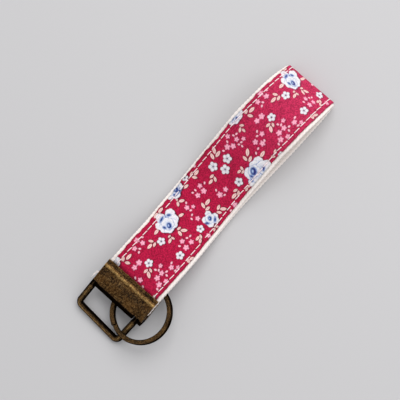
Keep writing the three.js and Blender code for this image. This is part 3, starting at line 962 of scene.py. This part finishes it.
def add_frayed_yarns(material):
    """Loose ends of the webbing's yarns, which curl out of the clamp's open left side.

    Each one runs from start towards pull and ends at end, all as (along, out, x) of the clamp."""
    random = np.random.default_rng(4)
    turn = np.linspace(0, 2 * math.pi, 6, endpoint=False)
    t = np.linspace(0, 1, 14)[:, None]
    yarns = []
    for _ in range(FRAYED_YARNS):
        start = np.array((2.7, random.uniform(-0.6, 0.6), -11.9))
        pull = np.array((random.uniform(1.6, 2.6), random.uniform(-0.4, 1.2), -13.6))
        end = np.array([random.uniform(*reach) for reach in ((-1.3, 1.9), (0, 1.7), (-14.2, -13.5))])
        route = (1 - t) ** 2 * start + 2 * t * (1 - t) * pull + t**2 * end
        curl = random.uniform(0, 6)
        bend = np.concatenate([np.sin(9 * t + curl), np.cos(9 * t + curl), 0 * t], 1)
        route = route + 0.12 * t * bend
        tangent = unit(np.gradient(route, axis=0))
        side = unit(np.cross(tangent, (0.1, 1, 0)))
        radius = random.uniform(0.06, 0.1)
        yarn = tube(radius * np.cos(turn), radius * np.sin(turn), route, side, np.cross(side, tangent))
        yarns.append(clamp_point(yarn[..., 0], yarn[..., 1], yarn[..., 2]))
    relief = [np.ones(yarn.shape[:2]) for yarn in yarns]
    obj = add_tubes("frayed_yarns", yarns, material, {"cloth": yarns, "relief": relief})
    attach(obj, "clamp")


def add_stitches(part, start, end, hand, row, kind, material):
    """One row of stitches: short arcs of twisted thread that dive into the cloth at each end."""
    first = math.ceil((max(start, -1.5) + 0.2) / STITCH_PITCH)
    last = math.floor((min(end, LOWER_MOUTH + 1.5) - 0.2) / STITCH_PITCH)
    turn = np.linspace(0, 2 * math.pi, 10, endpoint=False)
    along = np.linspace(-0.5, 0.5, 21)
    stitches, plies, cloths = [], [], []
    for i in range(first, last + 1):
        middle = i * STITCH_PITCH + STITCH_PITCH / 2
        if middle + STITCH_LENGTH / 2 > end or middle - STITCH_LENGTH / 2 < start:
            continue
        wobble = math.sin(12.9 * i + len(hand)) * 0.04
        slant = 0.07 + 0.03 * math.sin(7.1 * i)
        u = middle + along * STITCH_LENGTH
        x = smooth_curve(u, row) + wobble + slant * 2 * along
        dive = np.clip(1 - (2 * np.abs(along)) ** 4, 0, 1)
        if kind == "needle":
            w = STRAND_THICK - 0.42 + 0.36 * dive
            lift = 1
        else:
            w = 0.28 - 0.24 * dive
            lift = -1
        ply = 0.5 + 0.5 * np.cos(2 * turn[None, :] + along[:, None] * STITCH_LENGTH * 5.2)
        thick = THREAD_RADIUS * (0.84 + 0.16 * ply) * (0.75 + 0.25 * dive[:, None] ** 0.5)
        grid_x = x[:, None] + thick * np.cos(turn)
        grid_w = w[:, None] + lift * thick * np.sin(turn)
        grid_u = np.repeat(u[:, None], len(turn), axis=1)
        stitches.append(strap_points(grid_u, grid_x, grid_w))
        plies.append(ply)
        cloths.append(np.stack([grid_u, grid_x, grid_w], -1))
    values = {"cloth": cloths, "ply": plies}
    obj = add_tubes(f"{kind}_{part}_{hand}", stitches, material, values)
    joined(obj, part, f"{kind}_thread", f"_{hand}")


# ---- The metal pieces ----


def place_brass(obj, body):
    """Lets a brass piece move with its body, in the place of the CAD node of the same name."""
    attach(obj, body)
    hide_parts(body)


def clamp_point(along, out, x):
    """Points on the clamp, from distances along it from the tunnel and out of its upper face."""
    c, s = math.cos(CLAMP_PITCH), math.sin(CLAMP_PITCH)
    points = (TUNNEL[0] + x, TUNNEL[1] + along * c - out * s, TUNNEL[2] + along * s + out * c)
    return np.stack(np.broadcast_arrays(*points), -1)


def clamp_profile():
    """(along, out) of the middle of the sheet, from one mouth round the bend to the other."""
    middle = CLAMP_HALF - CLAMP_SHEET / 2
    flat = steps_between(CLAMP_MOUTH + 0.25, 0, 0.12)
    turn = np.linspace(math.pi / 2, 3 * math.pi / 2, 72)[1:-1]
    dip = JAW_DIP * smoothstep((flat - CREASE - 0.3) / 1.3)
    ridge = 0.1 * hump((flat - CREASE - 0.3) / 0.5)
    top = middle - dip + ridge - 0.1
    along = np.concatenate([flat, (middle + 0.1) * np.cos(turn), flat[::-1]])
    out = np.concatenate([top, (middle - 0.1) * np.sin(turn), -top[::-1]])
    return along, out


def clamp_columns():
    """The x of the clamp's columns, with one on each side of each slot."""
    half = CLAMP_WIDTH / 2
    stops = (-half, LEG_SLOTS[0][1], *LEG_SLOTS[1], half)
    runs = [steps_between(a, b, 0.25)[:-1] for a, b in zip(stops, stops[1:])]
    return np.concatenate([*runs, [half]])


def clamp_wear_and_shade(along, x, wander):
    """How bare the metal is: most on the crease, lips and rims, less on the jaw; with painted shade
    round the bend and in a band before the crease.
    """
    crease = hump((along - CREASE - 0.25 - 2 * wander) / 0.7)
    lip = smoothstep((along - CLAMP_MOUTH + 0.1) / 0.3)
    rims = hump((np.abs(x) - CLAMP_WIDTH / 2) / 0.3)
    # Painted shade: the rolled bend round the tunnel is painted near black.
    rolled = smoothstep((-0.35 - along) / 0.9)
    by_jaw = hump((along - 8) / 0.6)
    # Painted shade in a band on the flat face before the crease.
    by_crease = hump((along - 4.2) / 1.4)
    bare = 0.6 * crease + 0.4 * lip + 0.25 * rims
    return bare - 0.95 * rolled - 0.5 * by_jaw - 0.34 * by_crease


def outside_slots(faces, along, out, x):
    """The clamp's faces without those in the slots that the legs of the wire swing in."""
    row = faces[:, 0] // len(x)
    column = faces[:, 0] % len(x)
    middle = (x[column] + x[np.minimum(column + 1, len(x) - 1)]) / 2
    angle = np.arctan2(out[row], -along[row])
    reach = math.asin(SLOT_HALF / (CLAMP_HALF - CLAMP_SHEET))
    in_swing = (along[row] < 0) & (angle > SLOT_LOWEST - reach) & (angle < SLOT_HIGHEST + reach)
    by_leg = np.zeros(len(faces), bool)
    for low, high in LEG_SLOTS:
        by_leg = by_leg | ((middle > low) & (middle < high))
    return faces[~(in_swing & by_leg)]


def add_clamp(material):
    along, out = clamp_profile()
    x = clamp_columns()
    wander = 0.05 * np.sin(0.6 * x + 1) + 0.04 * np.sin(1.7 * x)
    grid_out, grid_x = np.meshgrid(out, x, indexing="ij")
    grid_along = along[:, None] + smoothstep((along[:, None] - 7) / 2) * wander
    points = clamp_point(grid_along, grid_out, grid_x).reshape(-1, 3)
    tone_and_painted_light = clamp_wear_and_shade(grid_along, grid_x, wander).reshape(-1, 1)
    metal = np.stack([grid_along, grid_x, grid_out], -1).reshape(-1, 3)
    faces = outside_slots(grid_faces(len(along), len(x)), along, out, x)
    used = np.unique(faces)
    renumber = np.zeros(len(points), int)
    renumber[used] = np.arange(len(used))
    values = {"metal": metal[used], "tone_and_painted_light": tone_and_painted_light[used]}
    obj = add_mesh("brass_clamp", points[used], renumber[faces], material, attributes=values)
    sheet = obj.modifiers.new("sheet", "SOLIDIFY")
    sheet.thickness = (CLAMP_SHEET - 0.02) * MM
    sheet.offset = 0
    sheet.use_even_offset = True
    bevel = obj.modifiers.new("edge", "BEVEL")
    bevel.width = 0.13 * MM
    bevel.segments = 3
    bevel.limit_method = "ANGLE"
    bevel.angle_limit = math.radians(50)
    bevel.harden_normals = False
    apply_modifiers(obj)
    place_brass(obj, "clamp")


def apply_modifiers(obj):
    bpy.context.view_layer.objects.active = obj
    for modifier in list(obj.modifiers):
        bpy.ops.object.modifier_apply(modifier=modifier.name)


def rounded_route(corners, radius, step):
    """A flat route of straight runs joined by round corners, at an even step."""
    corners = [np.array(c, float) for c in corners]
    route = [corners[0]]
    for before, corner, after in zip(corners, corners[1:], corners[2:]):
        into = unit(corner - before)
        away = unit(after - corner)
        turn = math.acos(np.clip(into @ away, -1, 1))
        start = corner - into * radius * math.tan(turn / 2)
        side = math.copysign(1, into[0] * away[1] - into[1] * away[0])
        normal = side * np.array((-into[1], into[0]))
        centre = start + normal * radius
        for angle in np.linspace(0, turn, 24):
            route.append(centre - normal * radius * math.cos(angle) + into * radius * math.sin(angle))
    route.append(corners[-1])
    route = np.array(route)
    length = np.concatenate([[0], np.cumsum(np.hypot(*np.diff(route, axis=0).T))])
    even = np.linspace(0, length[-1], int(length[-1] / step) + 1)
    return np.stack([np.interp(even, length, route[:, i]) for i in (0, 1)], -1)


def metal_grid(run, a, b):
    """Where the brass texture is read on a wire: at run along it, and at a and b round it."""
    return np.stack(np.broadcast_arrays(run[:, None], a, b), -1)


def add_wire_loop(material):
    # (x, distance along the loop) from the wire's closing joint, round the loop, and back to it.
    corners = ((-0.6, 0), (10.05, 0), (8.6, -LOOP_LENGTH - 0.75), (-12.6, -LOOP_LENGTH + 0.75),
               (-11.85, 0), (-1.2, 0))
    route = rounded_route(corners, WIRE_CORNER, WIRE_STEP)
    tangent = unit(np.gradient(route, axis=0))
    in_loop = np.array((0, math.cos(LOOP_SLOPE), math.sin(LOOP_SLOPE)))
    off_loop = np.array((0, -math.sin(LOOP_SLOPE), math.cos(LOOP_SLOPE)))
    across = np.array((1.0, 0, 0))
    place = TUNNEL + route[:, :1] * across + route[:, 1:] * in_loop
    side = -tangent[:, 1:] * across + tangent[:, :1] * in_loop
    up = np.repeat(off_loop[None, :], len(route), axis=0)
    turn = np.linspace(0, 2 * math.pi, 33)[:-1]
    points = tube(WIRE_RADIUS * np.cos(turn), WIRE_RADIUS * np.sin(turn), place, side, up)
    run = np.arange(len(route)) * WIRE_STEP
    patch = 0.5 + 0.5 * np.sin(0.9 * run + 1.3 * np.sin(0.37 * run))
    facing = np.abs(np.sin(turn))[None, :]
    in_tunnel = smoothstep((route[:, 1:] + 4.4) / 1.4)
    # The wire's top and bottom are bare, partly from wear and partly as a painted highlight; its sides
    # and the length inside the clamp's tunnel carry painted shade.
    tone_and_painted_light = facing**8 * (0.5 + 0.2 * patch[:, None]) - (1 - facing) ** 0.35 - in_tunnel
    metal = metal_grid(run, 2 * np.cos(turn), 2 * np.sin(turn) + 20)
    obj = add_tubes("brass_loop", [points], material, {"metal": [metal], "tone_and_painted_light": [tone_and_painted_light]})
    place_brass(obj, "wire_loop")


def rounded_rectangle(width, height, radius):
    """(a, b) round a rectangle with round corners."""
    a, b = [], []
    for corner, (sign_a, sign_b) in enumerate(((1, 1), (-1, 1), (-1, -1), (1, -1))):
        turn = math.radians(90 * corner) + np.radians(np.linspace(0, 90, 7))
        a.extend(sign_a * (width / 2 - radius) + radius * np.cos(turn))
        b.extend(sign_b * (height / 2 - radius) + radius * np.sin(turn))
    return np.array(a), np.array(b)


def add_split_ring(material):
    up = unit(np.array((-RING_RISE[0], -RING_RISE[1], 1)))
    e1 = unit(np.array((1, 0, RING_RISE[0])))
    e2 = np.cross(up, e1)
    start, end = CROSSOVER
    degrees = steps_between(end, start + 720, 0.8)
    level = smoothstep((degrees - start - 360) / (end - start)) - 0.5
    angle = np.radians(degrees)[:, None]
    side = np.cos(angle) * e1 + np.sin(angle) * e2
    place = RING_CENTRE + side * (RING_RADIUS - COIL_WIDTH / 2) + level[:, None] * COIL_PITCH * up
    section = rounded_rectangle(COIL_WIDTH - 0.02, COIL_THICK - 0.02, COIL_CORNER)
    points = tube(*section, place, side, np.repeat(up[None, :], len(degrees), axis=0))
    run = np.radians(degrees) * RING_RADIUS
    edge = np.abs(section[0]) / (COIL_WIDTH / 2)
    top = smoothstep((section[1] - 0.25) / 0.2)
    patch = 0.5 + 0.5 * np.sin(0.5 * run + 1.1 * np.sin(0.23 * run))
    # The coil's top is bare, partly from wear and partly as a painted highlight; its rims carry
    # painted shade.
    tone_and_painted_light = top[None, :] * (0.25 + 0.25 * patch[:, None]) - smoothstep((edge[None, :] - 0.4) / 0.45)
    metal = metal_grid(run, 2 * section[0], 2 * section[1] + 40)
    obj = add_tubes("brass_ring", [points], material, {"metal": [metal], "tone_and_painted_light": [tone_and_painted_light]})
    place_brass(obj, "split_ring")


# ---- The setting ----


def add_floor():
    n = Nodes("pale_floor")
    n.shade(Base_Color=(*FLOOR_COLOUR, 1.0), Roughness=0.95, Specular_IOR_Level=0.1)
    h = FLOOR_HALF
    points = np.array(((-h, -h, 0), (h, -h, 0), (h, h, 0), (-h, h, 0)), float)
    floor = add_mesh("floor", points, np.array(((0, 1, 2, 3),)), n.material)


def add_light(name, direction, power):
    """A square soft light that faces the object."""
    data = bpy.data.lights.new(name, "AREA")
    data.size = LIGHT_SIZE * MM
    data.energy = power
    light = bpy.data.objects.new(name, data)
    back = Vector(direction).normalized()
    light.location = frame_point(CAMERA_TARGET) + back * LIGHT_DISTANCE * MM
    light.rotation_euler = back.to_track_quat("Z", "Y").to_euler()
    bpy.context.scene.collection.objects.link(light)


def add_ambience():
    world = bpy.data.worlds.new("soft_room")
    world.use_nodes = True
    background = world.node_tree.nodes["Background"]
    background.inputs["Color"].default_value = (*AMBIENCE_COLOUR, 1.0)
    background.inputs["Strength"].default_value = AMBIENCE
    bpy.context.scene.world = world


def add_camera():
    back = Vector((CAMERA_TILT[0], CAMERA_TILT[1], 1)).normalized()
    ahead = (Vector((0, 1, 0)) - back * back.y).normalized()
    right = ahead.cross(back)
    c, s = math.cos(CAMERA_ROLL), math.sin(CAMERA_ROLL)
    across = c * right + s * ahead
    up = c * ahead - s * right
    data = bpy.data.cameras.new("camera")
    data.lens = CAMERA_LENS
    data.sensor_width = 36
    data.clip_start = 0.01
    data.clip_end = 20
    camera = bpy.data.objects.new("camera", data)
    place = frame_point(CAMERA_TARGET) + back * CAMERA_DISTANCE * MM
    camera.matrix_world = Matrix.LocRotScale(place, Matrix((across, up, back)).transposed(), None)
    bpy.context.scene.collection.objects.link(camera)
    bpy.context.scene.camera = camera


# ---- Building it all ----

PRINT = printed_canvas(
    np.arange(-STRAP_INSIDE - 1, LOWER_MOUTH + STRAP_INSIDE + 6, PRINT_STEP),
    np.arange(-PRINT_HALF, PRINT_HALF, PRINT_STEP),
)

cotton = cotton_material()
tape = webbing_material()
thread = thread_material()
for part, start, end in LENGTHS:
    add_webbing(part, start, end, tape)
    add_fabric(part, start, end, cotton)
    for hand, row in (("left", LEFT_ROW), ("right", RIGHT_ROW)):
        add_stitches(part, start, end, hand, row, "needle", thread)
        add_stitches(part, start, end, hand, row, "bobbin", thread)

add_frayed_yarns(tape)
add_clamp(brass_material("clamp_brass", (26, 14, 5), (84, 56, 26)))
add_wire_loop(brass_material("wire_brass", (34, 21, 10), (90, 64, 35)))
add_split_ring(brass_material("ring_brass", (38, 24, 12), (94, 69, 39)))

add_floor()
add_light("window", KEY_DIRECTION, KEY_POWER)
add_light("fill", FILL_DIRECTION, FILL_POWER)
add_ambience()
add_camera()
bpy.context.scene.view_settings.view_transform = "Standard"
